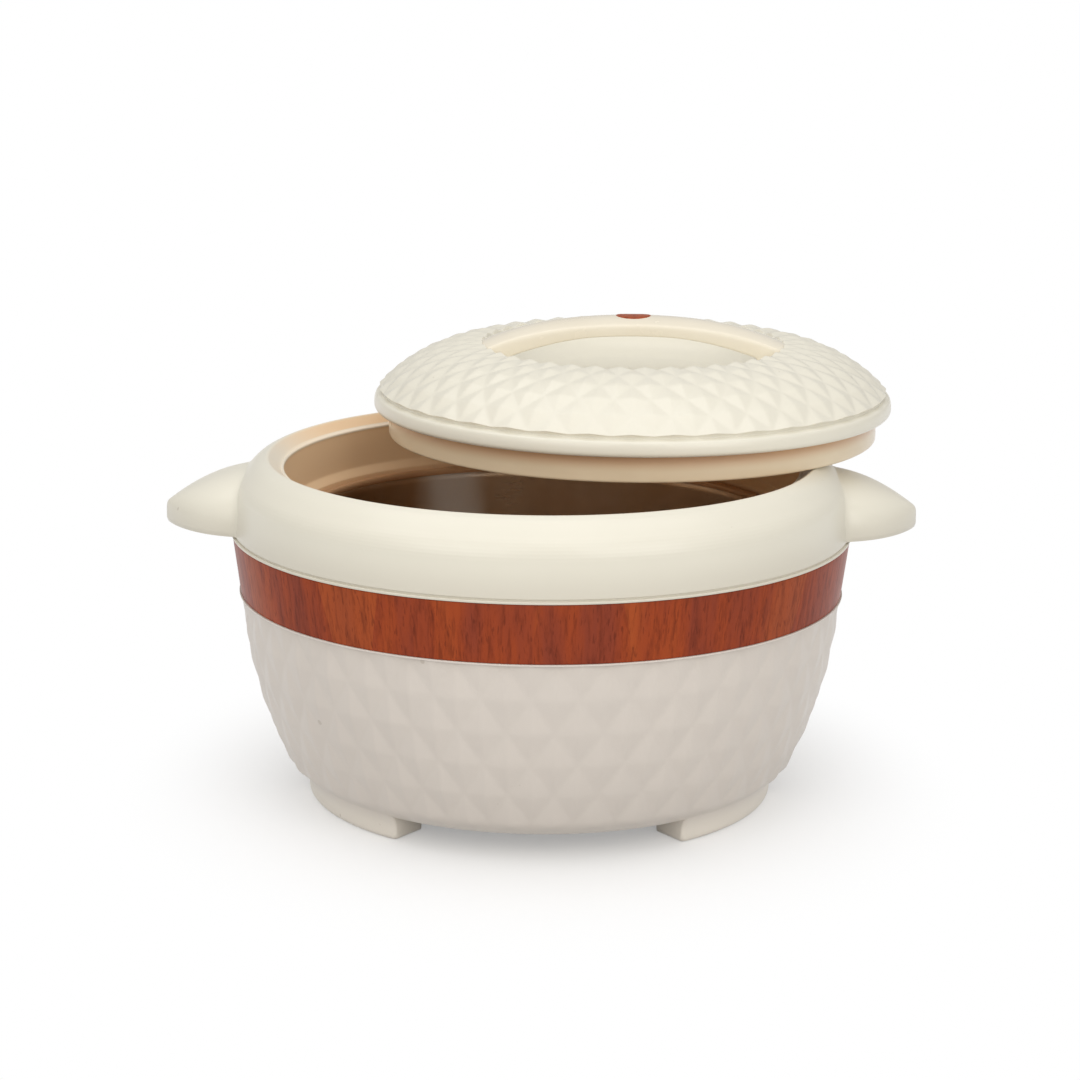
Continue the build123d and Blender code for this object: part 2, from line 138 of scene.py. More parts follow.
def addPiece(name, mesh, body, material, node=None, creaseAngle=45):
    piece = bpy.data.objects.new(name, mesh)
    bpy.context.scene.collection.objects.link(piece)
    mesh.materials.append(material)
    mesh.shade_smooth()
    mesh.set_sharp_from_angle(angle=math.radians(creaseAngle))
    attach(piece, body)
    if node:
        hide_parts(node)
    print("piece", name, len(mesh.polygons), "faces")
    return piece


def evenAngles(count, turn=0.0):
    # angles round a full turn, counted from the front towards +X, starting at turn degrees
    return math.radians(turn) + np.arange(count) * 2 * math.pi / count


# ---- studs: rows of four-sided points, staggered from row to row

studs = {"columns": 40, "rows": 5, "stepsAcross": 20, "stepsAlong": 12}


def studShape(columns, rows, sharpness, ridgeWidth):
    # a and b run along the two diagonals of the diamond net; each is turned into a rounded triangle wave
    # that is 0 on even numbers and 1 on odd ones, and the larger of the two is the fall from a stud's tip
    a, b = 2 * columns + rows, 2 * columns - rows
    fallA = np.arccos(sharpness * np.cos(math.pi * a)) / math.pi
    fallB = np.arccos(sharpness * np.cos(math.pi * b)) / math.pi
    return 1 - smoothMax(fallA, fallB, ridgeWidth)


def studAngles(turn):
    return evenAngles(studs["columns"] * studs["stepsAcross"], turn)


def studRows(count):
    # the column number at every step round; row numbers start on a row whose tips lie half a column on
    steps = studs["columns"] * studs["stepsAcross"]
    return np.arange(steps) / studs["stepsAcross"] + 0.5, np.linspace(0, studs["rows"], count)


# ---- shader expressions

class Wire:
    # a node socket that can be used in sums and products
    tree = None

    def __init__(self, socket):
        self.socket = socket

    def calc(self, operation, *others):
        return node("ShaderNodeMath", {"operation": operation}, dict(enumerate([self, *others])))

    def __add__(self, other): return self.calc("ADD", other)
    def __sub__(self, other): return self.calc("SUBTRACT", other)
    def __mul__(self, other): return self.calc("MULTIPLY", other)
    def __truediv__(self, other): return self.calc("DIVIDE", other)
    def most(self, other): return self.calc("MAXIMUM", other)

    def ramp(self, low, high, toLow=0.0, toHigh=1.0):
        # a smooth step from toLow to toHigh as the value goes from low to high
        return node("ShaderNodeMapRange", {"interpolation_type": "SMOOTHSTEP"},
                    {"Value": self, "From Min": low, "From Max": high, "To Min": toLow, "To Max": toHigh})


def node(kind, settings=None, inputs=None, output=0):
    # adds a node: settings first, then the values or links of its sockets
    made = Wire.tree.nodes.new(kind)
    for key, value in (settings or {}).items():
        setattr(made, key, value)
    for key, value in (inputs or {}).items():
        if isinstance(value, Wire):
            Wire.tree.links.new(value.socket, made.inputs[key])
        else:
            made.inputs[key].default_value = value
    return Wire(made.outputs[output])


def objectPoint():
    return node("ShaderNodeTexCoord", output="Object")


def stretched(point, x, y, z):
    return node("ShaderNodeVectorMath", {"operation": "MULTIPLY"}, {0: point, 1: (x, y, z)})


def noise(point, scale, detail=2.0, roughness=0.5):
    return node("ShaderNodeTexNoise", {}, {"Vector": point, "Scale": scale, "Detail": detail,
                                           "Roughness": roughness})


def blendColour(factor, first, second):
    return node("ShaderNodeMix", {"data_type": "RGBA"}, {0: factor, 6: first, 7: second}, output=2)


def axisOf(point, letter):
    return node("ShaderNodeSeparateXYZ", {}, {0: point}, output=letter)


def bumpFrom(height, strength, distance):
    return node("ShaderNodeBump", {}, {"Height": height, "Strength": strength, "Distance": distance})


def newMaterial(name, fixed):
    # a Principled material; fixed holds the values that are the same all over the surface
    material = bpy.data.materials.new(name)
    material.use_nodes = True
    Wire.tree = material.node_tree
    shader = next(n for n in Wire.tree.nodes if n.type == "BSDF_PRINCIPLED")
    for key, value in fixed.items():
        shader.inputs[key].default_value = value
    return material, shader


def feed(shader, **links):
    for key, value in links.items():
        Wire.tree.links.new(value.socket, shader.inputs[key.replace("_", " ")])


# ---- materials

creams = {
    "rim": {"colour": (0.82, 0.785, 0.675), "shade": (0.81, 0.775, 0.665), "rough": 0.35, "coat": 0.14},
    "shell": {"colour": (0.73, 0.668, 0.607), "shade": (0.715, 0.655, 0.597), "rough": 0.42, "coat": 0.12},
    "lid": {"colour": (0.82, 0.785, 0.675), "shade": (0.81, 0.775, 0.665), "rough": 0.34, "coat": 0.16},
    "grip": {"colour": (0.87, 0.80, 0.66), "shade": (0.84, 0.765, 0.62), "rough": 0.26, "coat": 0.35},
    # the skirt's cream is warmer than the lid's, which paints the warm light bounced under the flange
    "skirt": {"colour": (0.82, 0.69, 0.50), "shade": (0.78, 0.645, 0.455), "rough": 0.30, "coat": 0.25},
    "ior": 1.49, "coatRough": 0.12,
    "cloudSize": 26.0, "cloudRough": 0.10, "flowSize": 55.0, "flowStretch": 3.5, "flowShare": 0.25,
    "toneEdge": (0.35, 0.66), "waveSize": 160.0, "waveRough": 0.06, "waveDepth": 0.00001, "waveStrength": 0.15,
    "speckSize": 210.0, "speckEdge": (0.875, 0.9), "speckShade": 0.3, "speckColour": (0.33, 0.25, 0.17),
}


def creamPlastic(name, kind, *overlays):
    # moulded plastic: slow clouds of tone, faint flow marks, a faintly uneven skin and a few dust specks;
    # each overlay is a mask and the colour that it lays over the rest
    c, tone = creams, creams[kind]
    material, shader = newMaterial(name, {"Coat Weight": tone["coat"], "Coat Roughness": c["coatRough"],
                                          "IOR": c["ior"]})
    point = objectPoint()
    clouds = noise(point, c["cloudSize"], 3.0, 0.55)
    flow = noise(stretched(point, 1, 1, c["flowStretch"]), c["flowSize"])
    mottle = clouds * (1 - c["flowShare"]) + flow * c["flowShare"]
    colour = blendColour(mottle.ramp(*c["toneEdge"]), (*tone["colour"], 1), (*tone["shade"], 1))
    for mask, overlay in overlays:
        colour = blendColour(mask(point), colour, (*overlay, 1))
    specks = noise(point, c["speckSize"], 0.0).ramp(*c["speckEdge"])
    colour = blendColour(specks * c["speckShade"], colour, (*c["speckColour"], 1))
    waves = noise(point, c["waveSize"])
    rough = (clouds - 0.5) * c["cloudRough"] + (waves - 0.5) * c["waveRough"] + tone["rough"]
    skin = bumpFrom(waves, c["waveStrength"], c["waveDepth"])
    feed(shader, Base_Color=colour, Roughness=rough, Normal=skin)
    return material


# where each painted tint of shade or light begins and ends, in metres, and its colour
tints = {
    "crestRadius": (0.1128, 0.1155), "bevelHeight": (0.1375, 0.139), "bevelFront": (0.0, 0.07), "bevelLitShare": 0.8,
    "ridgeBottom": (0.1380, 0.1385), "ridgeTop": (0.1396, 0.1400), "collarFoot": (0.113, 0.128),
    "skirtTop": (0.1475, 0.1542), "feet": (0.005, 0.015),
    # painted colours: the collar's foot in shade, the mouth in warm bounce light and shade, a highlight on the
    # ridge, the feet lit paler and the skirt's top in shade
    "collarFootShadeColour": (0.71, 0.67, 0.57), "mouthBounceShadeColour": (0.95, 0.68, 0.42), "ridgeHighlightColour": (0.97, 0.86, 0.70),
    "feetLitColour": (0.88, 0.82, 0.735), "skirtShadeColour": (0.60, 0.345, 0.175),
}


def mouthBounceShadeMask(point):
    # 1 on the collar's surfaces inside the crest, painted in the warm tan of bounce light and shade, and 0 outside
    # it; on the bevel under the crest the tint fades towards the front, which is left paler as painted light
    level = stretched(point, 1, 1, 0)
    radius = node("ShaderNodeVectorMath", {"operation": "LENGTH"}, {0: level}, output="Value")
    front = axisOf(point, "Y").ramp(*tints["bevelFront"], 1.0, 0.0)
    # pale: the front of the bevel, kept paler as painted light
    pale = axisOf(point, "Z").ramp(*tints["bevelHeight"]) * front
    return radius.ramp(*tints["crestRadius"], 1.0, 0.0) * (pale * -tints["bevelLitShare"] + 1.0)


def ridgeHighlightMask(point):
    # a painted highlight along the rounded edge between the collar's bevel and its inner wall
    height = axisOf(point, "Z")
    return height.ramp(*tints["ridgeBottom"]) * height.ramp(*tints["ridgeTop"], 1.0, 0.0) * mouthBounceShadeMask(point)


def collarFootShadeMask(point):
    # 1 along the foot of the collar's outer wall, where it is painted darker as shade, and 0 higher up
    return axisOf(point, "Z").ramp(*tints["collarFoot"], 1.0, 0.0)


def skirtShadeMask(point):
    # painted shade: 1 on the top of the lid's skirt, close under the flange, and 0 lower down, a warm dark tone for
    # the shadow and bounce light there
    return axisOf(point, "Z").ramp(*tints["skirtTop"])


def footLightMask(point):
    # 1 on the feet, painted paler to stand for light on them, and 0 on the body over them
    return axisOf(point, "Z").ramp(*tints["feet"], 1.0, 0.0)


wood = {
    "red": (0.365, 0.064, 0.020), "orange": (0.45, 0.098, 0.027), "dark": (0.10, 0.018, 0.009),
    "plum": (0.26, 0.052, 0.028), "bottom": 0.0875, "height": 0.0243, "radius": 0.1275,
    "patchWidth": 0.031, "patchDrift": 0.022, "patchSlant": 0.17, "patchEdge": (0.70, 0.715), "patchShade": 0.55,
    "chanceEdge": (0.45, 0.5), "plumEdge": (0.35, 0.68), "orangeEdge": (0.28, 0.46), "orangeShade": 0.3,
    "streakEdge": (0.42, 0.72), "streakShade": 0.5, "poreEdge": (0.62, 0.70), "poreShade": 0.42,
    "knotEdge": (0.74, 0.84), "knotShade": 0.5, "rough": 0.26, "streakRough": 0.14,
    "coat": 0.03, "coatRough": 0.10, "ior": 1.45, "gloss": 0.07,
    "poreRelief": 0.4, "reliefStrength": 0.12, "reliefDepth": 0.00005,
    # each layer of the grain: its upright stretch, scale, detail and roughness
    "drift": (0.22, 34.0, 2.0, 0.5), "chance": (0.0, 17.0, 0.0, 0.5), "bands": (0.10, 62.0, 3.0, 0.6),
    "streaks": (0.05, 520.0, 3.0, 0.7), "pores": (0.11, 1150.0, 1.0, 0.5), "knots": (0.35, 120.0, 1.0, 0.5),
}


def grain(point, layer):
    upright, scale, detail, roughness = wood[layer]
    return noise(stretched(point, 1, 1, upright), scale, detail, roughness)


def woodPrint(name, spin=0.0):
    # a printed strip with the grain upright: slanted light patches, soft dark bands, fine streaks
    # and short pores
    w = wood
    material, shader = newMaterial(name, {"Coat Weight": w["coat"], "Coat Roughness": w["coatRough"],
                                          "IOR": w["ior"], "Specular IOR Level": w["gloss"]})
    point = objectPoint()
    x, y, z = (axisOf(point, letter) for letter in "XYZ")
    around = node("ShaderNodeMath", {"operation": "ARCTAN2"}, {0: y, 1: x}) * w["radius"] + spin
    up = (z - w["bottom"]) / w["height"]
    place = around + (grain(point, "drift") - 0.5) * w["patchDrift"]
    wave = node("ShaderNodeMath", {"operation": "PINGPONG"}, {0: place, 1: w["patchWidth"]})
    patches = (wave / w["patchWidth"] + up * w["patchSlant"]).ramp(*w["patchEdge"])
    chance = grain(point, "chance").ramp(*w["chanceEdge"])
    bands, streaks = grain(point, "bands"), grain(point, "streaks")
    pores = grain(point, "pores").ramp(*w["poreEdge"])
    knots = grain(point, "knots").ramp(*w["knotEdge"])
    red, plum, orange, dark = ((*w[tone], 1) for tone in ("red", "plum", "orange", "dark"))
    colour = blendColour(bands.ramp(*w["plumEdge"]), red, plum)
    colour = blendColour(bands.ramp(*w["orangeEdge"], w["orangeShade"], 0.0), colour, orange)
    colour = blendColour(patches * chance * w["patchShade"], colour, orange)
    colour = blendColour(streaks.ramp(*w["streakEdge"], 0.0, w["streakShade"]), colour, dark)
    colour = blendColour((pores * w["poreShade"]).most(knots * w["knotShade"]), colour, dark)
    rough = streaks * w["streakRough"] + w["rough"]
    relief = bumpFrom(streaks + pores * w["poreRelief"], w["reliefStrength"], w["reliefDepth"])
    feed(shader, Base_Color=colour, Roughness=rough, Normal=relief)
    return material


steel = {
    "colour": (0.62, 0.48, 0.35), "dull": (0.52, 0.37, 0.24), "sheen": (0.80, 0.77, 0.74), "lip": (0.66, 0.40, 0.22),
    "lipHeight": 0.1148, "lipFade": 0.0004, "lipMetal": 0.5, "rough": 0.17, "ringRough": 0.10, "smudgeRough": 0.16,
    "sheenAngle": 2.01, "sheenWobble": 0.35, "sheenEdge": (0.90, 1.01), "sheenMetal": 0.5, "smudgeEdge": (0.35, 0.7),
    "ringRelief": 0.12, "waveRelief": 3.0, "reliefStrength": 0.35, "reliefDepth": 0.0006,
}


def brushedSteel(name, lip=1.0):
    # spun sheet: fine rings from turning, a few smudges, soft upright waves, two paler upright streaks of painted
    # sheen across from each other and, where lip is 1, a warm rim that is a painted reflection of the collar
    s = steel
    material, shader = newMaterial(name, {})
    point = objectPoint()
    around = node("ShaderNodeMath", {"operation": "ARCTAN2"}, {0: axisOf(point, "Y"), 1: axisOf(point, "X")})
    wobble = noise(stretched(point, 1, 1, 0.3), 30.0)
    twice = (around + (wobble - 0.5) * s["sheenWobble"] - s["sheenAngle"]) * 2.0
    # a painted highlight: two paler, less metallic upright streaks at a fixed angle round the liner
    paintedSheen = twice.calc("COSINE").ramp(*s["sheenEdge"])
    # where lip is 1, the liner's top is painted the warm tan of the collar's reflection
    rim = axisOf(point, "Z").ramp(s["lipHeight"], s["lipHeight"] + s["lipFade"]) * lip
    rings = noise(stretched(point, 0.05, 0.05, 1), 2400.0, 3.0, 0.7)
    smudge = noise(point, 24.0, 3.0, 0.6)
    waves = noise(stretched(point, 1, 1, 0.08), 38.0, 1.0)
    colour = blendColour(smudge.ramp(*s["smudgeEdge"]), (*s["colour"], 1), (*s["dull"], 1))
    colour = blendColour(paintedSheen, colour, (*s["sheen"], 1))
    colour = blendColour(rim, colour, (*s["lip"], 1))
    rough = rings * s["ringRough"] + smudge * s["smudgeRough"] + s["rough"]
    metal = paintedSheen * -s["sheenMetal"] + 1.0 - rim * s["lipMetal"]
    relief = rings * s["ringRelief"] + waves * s["waveRelief"]
    feed(shader, Base_Color=colour, Roughness=rough, Metallic=metal,
         Normal=bumpFrom(relief, s["reliefStrength"], s["reliefDepth"]))
    return material


foamLook = {"pale": (0.80, 0.72, 0.48), "deep": (0.72, 0.62, 0.38), "cellSize": 420.0, "cellDepth": 0.0004,
            "cellStrength": 0.5, "cloudSize": 30.0, "rough": 0.8, "cellRough": 0.2, "gloss": 0.2}


def pouredFoam(name):
    # pale rigid foam with small open cells
    f = foamLook
    material, shader = newMaterial(name, {"Specular IOR Level": f["gloss"]})
    point = objectPoint()
    cells = node("ShaderNodeTexVoronoi", {}, {"Vector": point, "Scale": f["cellSize"]}, output="Distance")
    clouds = noise(point, f["cloudSize"], 3.0)
    colour = blendColour(clouds, (*f["pale"], 1), (*f["deep"], 1))
    feed(shader, Base_Color=colour, Roughness=cells * f["cellRough"] + f["rough"],
         Normal=bumpFrom(cells, f["cellStrength"], f["cellDepth"]))
    return material


rimCream = creamPlastic("rimCream", "rim", (collarFootShadeMask, tints["collarFootShadeColour"]),
                        (mouthBounceShadeMask, tints["mouthBounceShadeColour"]), (ridgeHighlightMask, tints["ridgeHighlightColour"]))
shellCream = creamPlastic("shellCream", "shell", (footLightMask, tints["feetLitColour"]))
lidCream = creamPlastic("lidCream", "lid")
gripCream = creamPlastic("gripCream", "grip")
skirtCream = creamPlastic("skirtCream", "skirt", (skirtShadeMask, tints["skirtShadeColour"]))
bandWood = woodPrint("bandWood")
linerSteel = brushedSteel("linerSteel")
screwSteel = brushedSteel("screwSteel", lip=0.0)
foam = pouredFoam("insulationFoam")
print("materials ready")


# ---- pot shell

shell = {
    "holeRadius": 9.15, "wall": 2.5, "bottom": 8.7, "flatRadius": 91.5, "cornerRadius": 17.0,
    "cornerSweep": 60.0, "topRadius": 124.6, "top": 87.5, "bulge": 3.7, "relief": 1.15, "turn": -1.7,
    "sharpness": 0.988, "ridgeWidth": 0.10, "fadeRows": 0.4, "lineHeight": 0.7, "lineProud": 1.9,
    "neckRadius": 124.15, "neckTopRadius": 127.88, "neckTop": 115.8,
}


def wallArc(count, inset=0.0):
    s = shell
    sweep = math.radians(s["cornerSweep"])
    low = (s["flatRadius"] + s["cornerRadius"] * math.sin(sweep),
           s["bottom"] + s["cornerRadius"] * (1 - math.cos(sweep)))
    arc = arcPoints(low, (s["topRadius"], s["top"] - s["lineHeight"]), s["bulge"], count)
    return arc - pathNormals(arc) * inset


def shellRings():
    # the base, its rounded corner, the studded wall and the neck behind the band, then back down
    # inside the wall
    s = shell
    corner = np.radians(np.linspace(0, s["cornerSweep"], 14))[:-1]
    cornerPath = np.stack([s["flatRadius"] + s["cornerRadius"] * np.sin(corner),
                           s["bottom"] + s["cornerRadius"] * (1 - np.cos(corner))], 1)
    base = roundedPath([(s["holeRadius"], s["bottom"] + s["wall"], 0), (s["holeRadius"], s["bottom"], 0),
                        (s["flatRadius"] - 1, s["bottom"], 0)], 9.0)
    rowCount = studs["rows"] * studs["stepsAlong"] + 1
    wall = wallArc(rowCount)
    columns, rows = studRows(rowCount)
    outside = np.concatenate([cornerPath, wall])
    rowPitch = np.linalg.norm(np.diff(wall, axis=0), axis=1).sum() / studs["rows"]
    below = -(math.radians(s["cornerSweep"]) - corner) * s["cornerRadius"] / rowPitch
    rowAt = np.concatenate([np.zeros(len(corner)), rows])
    fade = np.concatenate([smoothStep(1 + below / s["fadeRows"]), np.ones(rowCount)])
    shape = studShape(columns[None, :], rowAt[:, None], s["sharpness"], s["ridgeWidth"])
    height = s["relief"] * shape * fade[:, None]
    normal = pathNormals(outside)
    studded = outside[:, None, :] + height[..., None] * normal[:, None, :]
    line = s["topRadius"] + s["lineProud"]
    lineFoot = s["top"] - s["lineHeight"]
    neck = roundedPath([(s["topRadius"], lineFoot, 0), (line, lineFoot, 0.2),
                        (line, s["top"], 0.2), (s["neckRadius"], s["top"], 0),
                        (s["neckTopRadius"], s["neckTop"], 0),
                        (s["neckTopRadius"] - s["wall"], s["neckTop"], 0),
                        (s["neckRadius"] - s["wall"], s["top"], 0)], 8.0)[1:]
    inside = wallArc(9, s["wall"])[::-1]
    floorPath = np.array([[s["flatRadius"], s["bottom"] + s["wall"]], [50, s["bottom"] + s["wall"]]])
    angles = studAngles(s["turn"])
    return np.concatenate([turned(base, angles), turned(studded, angles), turned(neck, angles),
                           turned(inside, angles), turned(floorPath, angles)])


addPiece("potShell", gridMesh("potShell", shellRings()), "pot", shellCream, "outer_shell", 60)


# ---- feet

feet = {
    "profile": [(80.0, 0.0, 0.8), (98.0, 0.0, 2.6), (98.2, 6.0, 2.0), (100.4, 11.0, 2.0), (103.2, 14.2, 0),
                (80.0, 14.2, 0)],
    "halfAngle": 24.0, "endRound": 2.2, "first": 90.0, "count": 3, "steps": 61,
}


def footRings(turn):
    # the foot's outline swept through an arc; near both ends it shrinks towards its middle along a quarter
    # circle, (1 - t^2)^(1/2), which rounds the ends
    f = feet
    path = roundedPath(f["profile"], 1.5, closed=True)
    middle = np.array([(path[:, 0].min() + path[:, 0].max()) / 2, path[:, 1].max()])
    around = np.sin(np.linspace(-1, 1, f["steps"]) * math.pi / 2) * math.radians(f["halfAngle"])
    toEnd = (math.radians(f["halfAngle"]) - np.abs(around)) * middle[0]
    size = np.sqrt(1 - np.clip(1 - toEnd / f["endRound"], 0, 1) ** 2)
    inset = (1 - size) * f["endRound"]
    reach = np.abs(path - middle).max(0)
    section = middle + (path - middle)[None] * (1 - inset[:, None, None] / reach)
    angles = turn + around
    return np.stack([section[..., 0] * np.cos(angles)[:, None], section[..., 0] * np.sin(angles)[:, None],
                     section[..., 1]], -1)


def capped(points):
    # an open sweep of closed outlines, with a point at the middle of each end
    first, last = [points[i][None].mean(1, keepdims=True).repeat(points.shape[1], 1) for i in (0, -1)]
    return np.concatenate([first, points, last])


for number in range(feet["count"]):
    turn = math.radians(feet["first"] + number * 360 / feet["count"])
    addPiece(f"potFoot{number + 1}", gridMesh("potFoot", capped(footRings(turn)), closed=False), "pot",
             shellCream)


# ---- wood-look band

band = {"bottom": 87.5, "top": 111.8, "radius": 125.9, "topRadius": 129.1, "thickness": 1.6, "round": 0.5}


def bandRings():
    b = band
    path = roundedPath([(b["radius"], b["bottom"], b["round"]), (b["topRadius"], b["top"], b["round"]),
                        (b["topRadius"] - b["thickness"], b["top"], 0.2),
                        (b["radius"] - b["thickness"], b["bottom"], 0.2)], 1.5, closed=True)
    return turned(path, evenAngles(360))


addPiece("woodBand", gridMesh("woodBand", bandRings()), "pot", bandWood, "wood_band")


# ---- collar with its two ears

collar = {
    "outside": [(127.5, 111.95, 0.2), (129.5, 111.95, 0.3), (129.5, 112.9, 0.3), (128.3, 113.05, 0.1),
                (128.3, 113.75, 0.1), (128.9, 113.95, 0)],
    "wallPoints": [(128.9, 113.95, 0), (127.05, 132.6, 4.5), (119.6, 141.3, 5.0), (114.2, 143.6, 1.3),
                   (112.6, 142.2, 0.6)],
    "inside": [(108.7, 139.1, 0.2), (108.2, 139.45, 0.4), (107.3, 138.9, 0.5), (107.45, 137.6, 0.3),
               (106.1, 122.4, 0.7), (103.3, 119.3, 0.4), (103.3, 114.6, 0.1),
               (101.0, 114.6, 0.1), (101.0, 112.6, 0.1), (104.6, 112.6, 0.3), (108.7, 120.2, 1.0),
               (110.2, 136.6, 2.0), (114.4, 140.3, 2.0), (118.6, 138.5, 3.0), (124.3, 131.5, 4.0),
               (125.38, 118.3, 0.3), (125.38, 115.95, 0.1), (128.05, 115.95, 0.1)],
}
ears = {
    "root": 116.0, "reach": 41.3, "halfWidth": 31.6, "underside": 113.95, "rise": 23.7, "tipDrop": 15.7,
    "tipPower": 2.0, "widthPower": (2.4, 0.8), "domePower": (2.7, 0.41), "blend": 3.2, "wall": 2.5,
    "hollowStart": 131.5, "hollowFade": 1.5, "halfAngle": 17.0, "angleSteps": 110, "betweenSteps": 130,
    "levels": 100, "underSteps": 26, "tipRound": 1.6, "tipRoundHeight": 2.2, "tipRoundShare": 0.35,
    "halvings": 26,
}


def earHeight(x, y, inset=0.0):
    # height of an ear's top over its underside: a rise that falls off towards the tip, times a dome
    # across the leaf-shaped plan; minus a little outside the plan
    e = ears
    share = np.clip((x - e["root"]) / (e["reach"] - inset), 0, 1)
    width = (e["halfWidth"] - inset) * (1 - share ** e["widthPower"][0]) ** e["widthPower"][1]
    rise = e["rise"] - inset - e["tipDrop"] * share ** e["tipPower"]
    across = np.abs(y) / np.maximum(width, 1e-6)
    dome = np.clip(1 - np.minimum(across, 1) ** e["domePower"][0], 0, 1) ** e["domePower"][1]
    return np.where(across < 1, rise * dome, -1.0)


def earRadius(level, angle):
    # radius at which an ear's top has this height over its underside, found by halving
    low = np.full(np.broadcast(level, angle).shape, ears["root"])
    high = low + ears["reach"] + 1
    for _ in range(ears["halvings"]):
        middle = (low + high) / 2
        above = earHeight(middle * np.cos(angle), middle * np.sin(angle)) > level
        low, high = np.where(above, middle, low), np.where(above, high, middle)
    return low


def collarAngles():
    # close steps across the ears and wider ones between them
    e = ears
    near = math.radians(e["halfAngle"])
    step = np.linspace(-1, 1, e["angleSteps"])
    dense = near * np.sign(step) * np.abs(step) ** 0.8
    between = np.linspace(near, math.pi - near, e["betweenSteps"])[1:-1]
    return np.concatenate([dense, between, dense + math.pi, between + math.pi])


def collarRings():
    e = ears
    angles = collarAngles()
    fromEar = np.abs((angles + math.pi / 2) % math.pi - math.pi / 2)
    lip = roundedPath(collar["outside"], 1.2)
    upper = roundedPath(collar["wallPoints"], 0.3)
    inside = roundedPath(collar["inside"], 2.0)
    # levels up the wall: close ones over the ears' height, then the path of the shoulder and crest
    top = e["underside"] + e["rise"] + 0.6
    split = np.searchsorted(upper[:, 1], top)
    level = e["underside"] + (top - e["underside"]) * np.linspace(0, 1, e["levels"]) ** 0.75
    wallRadius = np.interp(level, upper[:split + 1, 1], upper[:split + 1, 0])
    over = level - e["underside"]
    earEdge = earRadius(over[:, None], fromEar[None, :])
    lowEdge = (1 - smoothStep(over / e["tipRoundHeight"]))[:, None] ** 2
    earEdge -= e["tipRound"] * lowEdge * e["tipRoundShare"]
    outer = smoothMax(wallRadius[:, None], earEdge, e["blend"])
    levels = turnedEars(outer, np.broadcast_to(level[:, None], outer.shape), angles)
    # underside: from the wall out to the edge, hollowed like the top but thinner by the wall
    share = np.linspace(0, 1, e["underSteps"] + 2)[1:-1, None]
    radius = wallRadius[0] + (outer[0] - wallRadius[0])[None, :] * share
    hollow = np.maximum(earHeight(radius * np.cos(fromEar), radius * np.sin(fromEar), e["wall"]), 0)
    hollow *= smoothStep((radius - e["hollowStart"]) / e["hollowFade"])
    under = turnedEars(radius, e["underside"] + hollow, angles)
    wide = np.ones(len(angles))
    rest = np.concatenate([upper[split + 1:], inside])
    return np.concatenate([turnedEars(lip[:, :1] * wide, lip[:, 1:] * wide, angles), under, levels,
                           turnedEars(rest[:, :1] * wide, rest[:, 1:] * wide, angles)])


def turnedEars(radius, height, angles):
    # like turned, with the angle counted from +X, where an ear is
    return np.stack([radius * np.cos(angles), radius * np.sin(angles), height + 0 * angles], -1)


addPiece("collarWithEars", gridMesh("collarWithEars", collarRings()), "pot", rimCream,
         "collar", 50)


# ---- steel liner

liner = {
    "radius": 99.9, "draft": 3.2, "corner": 14.0, "floor": 28.0, "wall": 0.8, "seat": 114.7, "bead": 1.65,
    "beadInside": 0.45, "beadLap": 0.6, "dishRise": 0.6,
}


def linerRings():
    # bowl with a rounded bottom corner and a rolled bead at its rim, in one closed section
    s = liner
    low = s["radius"] - s["draft"]
    floor, wall = s["floor"], s["wall"]
    angle = np.linspace(-0.33, 1.5, 24) * math.pi
    bead = np.stack([s["radius"] - s["beadInside"] + s["bead"] * (1 - np.cos(angle)),
                     s["seat"] + s["bead"] * (1 + np.sin(angle))], 1)
    inner = roundedPath([(0, floor + s["dishRise"], 0), (40, floor + s["dishRise"], 12), (60, floor, 12),
                         (low, floor, s["corner"]), (s["radius"], s["seat"] - s["beadLap"], 0)], 2.0)
    outer = roundedPath([(s["radius"] + wall, s["seat"] - s["beadLap"], 0),
                         (low + wall, floor - wall, s["corner"]),
                         (0, floor - wall, 0)], 6.0)
    return turned(np.concatenate([inner, bead, outer]), evenAngles(300))


addPiece("steelLiner", gridMesh("steelLiner", linerRings(), closed=False), "pot", linerSteel,
         "inner_bowl", 60)


# ---- lid, in its own frame: on its axis, heights up from the underside of its skirt

lidPlace = (38.8, 48.2, 143.5)
dome = {
    "edge": (108.4, 19.8), "rim": (65.0, 38.9), "bulge": 4.7, "relief": 1.25, "turn": 2.8,
    "sharpness": 0.97, "ridgeWidth": 0.15, "wall": 2.5, "dishFloor": 24.5, "dishFloorRadius": 45.5,
    "rimDrop": 1.0, "rimInset": 1.2, "floorRings": (38.0, 24.0, 10.0, 0.0),
    "flange": [(105.1, 14.0, 0), (105.1, 11.5, 0.1), (110.3, 11.5, 0.9), (111.25, 12.6, 1.1),
               (111.25, 15.4, 1.8), (110.5, 17.7, 1.4), (108.9, 18.2, 0.7), (107.7, 18.5, 0.5),
               (107.8, 19.2, 0.3)],
    "underDish": [(59.5, 27.2), (65.8, 34.9)],
    "inner": [(102.4, 18.9, 0), (102.4, 14.0, 0)],
}


